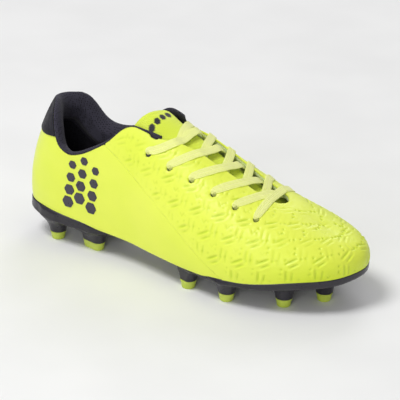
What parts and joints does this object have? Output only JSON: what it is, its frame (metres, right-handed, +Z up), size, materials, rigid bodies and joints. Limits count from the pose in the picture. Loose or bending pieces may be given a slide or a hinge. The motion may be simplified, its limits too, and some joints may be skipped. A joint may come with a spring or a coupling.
{
  "type": "soccer cleat",
  "caption": "Right-foot firm-ground football boot: laced synthetic upper with a textured forefoot, padded collar, and a stiff plastic plate with moulded conical and bladed studs",
  "frame": {"origin": "the middle of the shoe's outline on the ground the stud tips stand on", "axes": "+X points from the heel to the toe, +Y to the wearer's left, which is the inner side of this right shoe, and +Z up"},
  "size_m": [0.2761, 0.0931, 0.1179],
  "materials": {
    "outsole": "moulded black plastic plate, satin with a fine grain",
    "stud_tip": "moulded neon yellow-green stud tip, satin, scuffed at the ground",
    "board": "pressed fibre board",
    "sockliner": "dark knitted cover on foam",
    "textured_skin": "synthetic neon yellow skin, satin, embossed with short slanted grooves and pits",
    "smooth_skin": "smooth synthetic neon yellow skin, satin",
    "heel_skin": "black synthetic patch, fine grain, stitched edge",
    "print_film": "dark matt printed film",
    "stiffener": "thermoplastic stiffener sheet",
    "foam": "open-cell foam",
    "eyestay": "woven reinforcement",
    "pale_lining": "pale green woven lining",
    "dark_lining": "black knitted mesh lining",
    "tongue_skin": "smooth synthetic neon yellow skin",
    "lace": "flat woven lace, pale neon yellow",
    "aglet": "clear pale plastic sleeve"
  },
  "bodies": {
    "shoe": {"outsole_plate": "outsole", "stud_tip_heel_outer_rear": "stud_tip", "stud_tip_heel_outer_front": "stud_tip", "stud_tip_heel_inner_rear": "stud_tip", "stud_tip_heel_inner_front": "stud_tip", "stud_tip_ball_outer_rear": "stud_tip", "stud_tip_ball_outer_front": "stud_tip", "stud_tip_ball_inner_rear": "stud_tip", "stud_tip_ball_inner_front": "stud_tip", "stud_tip_ball_centre": "stud_tip", "stud_tip_toe_outer": "stud_tip", "stud_tip_toe_inner": "stud_tip", "stud_tip_toe_front": "stud_tip", "insole_board": "board", "vamp": "textured_skin", "quarter_outer": "smooth_skin", "quarter_inner": "smooth_skin", "heel_patch": "heel_skin", "side_film_outer": "print_film", "side_film_inner": "print_film", "toe_puff": "stiffener", "upper_foam": "foam", "eyestay_outer": "eyestay", "eyestay_inner": "eyestay", "heel_counter": "stiffener", "collar_foam": "foam", "vamp_lining": "pale_lining", "heel_lining": "dark_lining", "collar_lining": "dark_lining", "tongue_face": "tongue_skin", "tongue_foam": "foam", "tongue_lining": "dark_lining", "lace": "lace", "aglets": "aglet"},
    "sockliner": {"sockliner": "sockliner"},
    "tongue_top": {"tongue_top_face": "tongue_skin", "tongue_top_foam": "foam", "tongue_top_lining": "dark_lining"}
  },
  "joints": [
    {"name": "sockliner_lift", "type": "hinge", "parent": "shoe", "child": "sockliner", "pos_m": [0.1323, 0.0108, 0.034], "axis": [0, 1, 0], "range_deg": [0, 6]},
    {"name": "tongue_fold", "type": "hinge", "parent": "shoe", "child": "tongue_top", "pos_m": [-0.0203, 0.0008, 0.1105], "axis": [0, 1, 0], "range_deg": [0, 90]}
  ]
}
